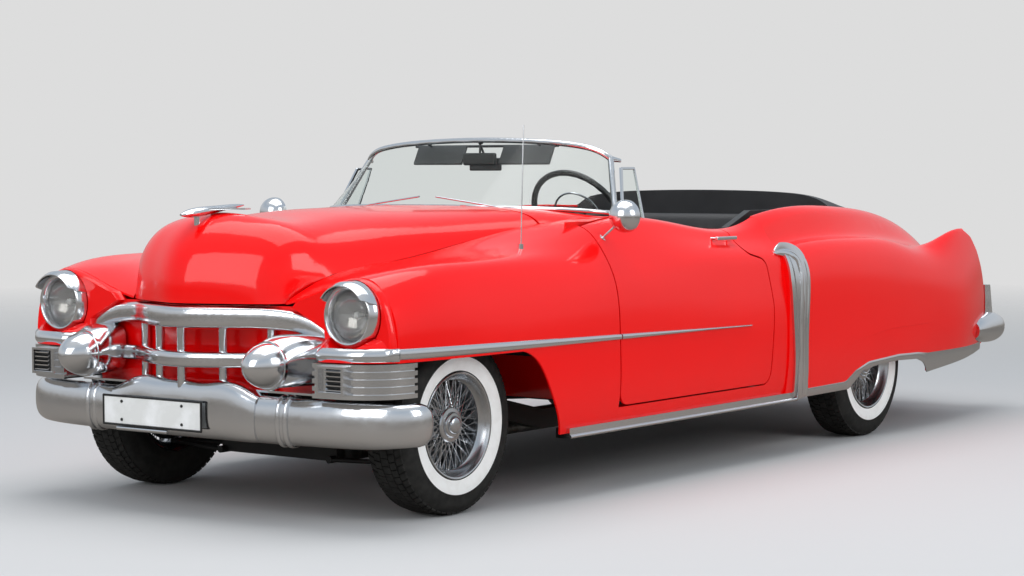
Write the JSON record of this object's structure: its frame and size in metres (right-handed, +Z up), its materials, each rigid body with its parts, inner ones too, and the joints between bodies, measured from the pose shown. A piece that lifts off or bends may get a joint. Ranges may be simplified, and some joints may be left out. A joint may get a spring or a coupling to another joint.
{
  "type": "convertible car",
  "caption": "Full-size two-door open car with a fixed windshield, spoked whitewall wheels and working doors, hood, trunk lid and steering.",
  "frame": {"origin": "on the floor under the middle of the bounding box", "axes": "+X is the car's left, the car faces -Y, +Z is up"},
  "size_m": [2.0564, 5.6054, 1.481],
  "materials": {
    "red_paint": "gloss",
    "bright_chrome": "polished",
    "clear_glass": "clear",
    "whitewall_tyre": "matt rubber with a white band",
    "wheel_chrome": "polished",
    "forged_steel": "painted black",
    "black_frame": "satin black",
    "engine_iron": "painted",
    "lamp_glass": "fluted",
    "red_lens": "translucent red",
    "dark_carpet": "short pile",
    "tank_steel": "plain",
    "dark_leather": "grained",
    "dash_paint": "semi gloss",
    "black_plastic": "moulded",
    "dark_vinyl": "smooth vinyl"
  },
  "bodies": {
    "car_body": {"front_fender_left": "red_paint", "front_fender_right": "red_paint", "body_pillars": "red_paint", "quarter_panel_left": "red_paint", "quarter_panel_right": "red_paint", "fender_skirts": "red_paint", "windshield_frame": "bright_chrome", "windshield_glass": "clear_glass", "cowl": "red_paint", "deck_panel": "red_paint", "tail_panel": "red_paint", "chassis_frame": "black_frame", "front_suspension": "black_frame", "rear_axle": "black_frame", "engine": "engine_iron", "front_bumper": "bright_chrome", "nose_panel": "red_paint", "grille": "bright_chrome", "headlamp_lenses": "lamp_glass", "lamp_bezels": "bright_chrome", "tail_lamps": "red_lens", "rear_bumper": "bright_chrome", "floor_pan": "dark_carpet", "rear_bulkhead": "dark_carpet", "wheelhouses": "black_frame", "fuel_tank": "tank_steel", "exhaust": "tank_steel", "front_seat": "dark_leather", "rear_seat": "dark_leather", "rear_side_trim": "dark_leather", "dashboard": "dash_paint", "steering_column": "black_plastic", "sun_visors": "dark_vinyl", "body_trim": "bright_chrome", "wipers_and_antenna": "bright_chrome"},
    "door_left": {"door_left": "red_paint", "vent_glass_left": "clear_glass", "door_fittings_left": "bright_chrome"},
    "door_right": {"door_right": "red_paint", "vent_glass_right": "clear_glass", "door_fittings_right": "bright_chrome"},
    "hood": {"hood": "red_paint", "hood_ornament": "bright_chrome"},
    "trunk_lid": {"trunk_lid": "red_paint"},
    "top_cover": {"top_cover": "red_paint"},
    "knuckle_left": {"knuckle_left": "forged_steel"},
    "knuckle_right": {"knuckle_right": "forged_steel"},
    "wheel_front_left": {"wheel_front_left": "wheel_chrome", "tyre_front_left": "whitewall_tyre"},
    "wheel_front_right": {"wheel_front_right": "wheel_chrome", "tyre_front_right": "whitewall_tyre"},
    "wheel_rear_left": {"wheel_rear_left": "wheel_chrome", "tyre_rear_left": "whitewall_tyre"},
    "wheel_rear_right": {"wheel_rear_right": "wheel_chrome", "tyre_rear_right": "whitewall_tyre"},
    "steering_wheel": {"steering_wheel": "black_plastic"}
  },
  "joints": [
    {"name": "steer_left", "type": "hinge", "parent": "car_body", "child": "knuckle_left", "pos_m": [0.659, -2.019, 0.342], "axis": [0, 0, 1], "range_deg": [-30, 30]},
    {"name": "steer_right", "type": "hinge", "parent": "car_body", "child": "knuckle_right", "pos_m": [-0.659, -2.019, 0.342], "axis": [0, 0, 1], "range_deg": [-31, 31]},
    {"name": "spin_front_left", "type": "hinge", "parent": "knuckle_left", "child": "wheel_front_left", "pos_m": [0.741, -2.019, 0.342], "axis": [1, 0, 0], "continuous": true},
    {"name": "spin_front_right", "type": "hinge", "parent": "knuckle_right", "child": "wheel_front_right", "pos_m": [-0.741, -2.019, 0.342], "axis": [1, 0, 0], "continuous": true},
    {"name": "spin_rear_left", "type": "hinge", "parent": "car_body", "child": "wheel_rear_left", "pos_m": [0.801, 1.181, 0.342], "axis": [1, 0, 0], "continuous": true},
    {"name": "spin_rear_right", "type": "hinge", "parent": "car_body", "child": "wheel_rear_right", "pos_m": [-0.801, 1.181, 0.342], "axis": [1, 0, 0], "continuous": true},
    {"name": "steering_turn", "type": "hinge", "parent": "car_body", "child": "steering_wheel", "pos_m": [0.38, -0.575, 1.1], "axis": [0, 0.866, 0.5], "range_deg": [-545, 545]},
    {"name": "door_left_swing", "type": "hinge", "parent": "car_body", "child": "door_left", "pos_m": [0.965, -1.217, 0.55], "axis": [0, 0, 1], "range_deg": [-62, 0]},
    {"name": "door_right_swing", "type": "hinge", "parent": "car_body", "child": "door_right", "pos_m": [-0.965, -1.217, 0.55], "axis": [0, 0, 1], "range_deg": [0, 62]},
    {"name": "hood_lift", "type": "hinge", "parent": "car_body", "child": "hood", "pos_m": [0, -1.175, 1.128], "axis": [1, 0, 0], "range_deg": [-48, 0]},
    {"name": "trunk_lift", "type": "hinge", "parent": "car_body", "child": "trunk_lid", "pos_m": [0, 1.365, 1.077], "axis": [1, 0, 0], "range_deg": [0, 55]},
    {"name": "top_cover_lift", "type": "hinge", "parent": "car_body", "child": "top_cover", "pos_m": [0, 1.365, 1.097], "axis": [1, 0, 0], "range_deg": [-50, 0]}
  ],
  "couplings": [
    {"joint": "steer_right", "follows": "steer_left", "ratio": 1},
    {"joint": "steering_turn", "follows": "steer_left", "ratio": 18}
  ]
}
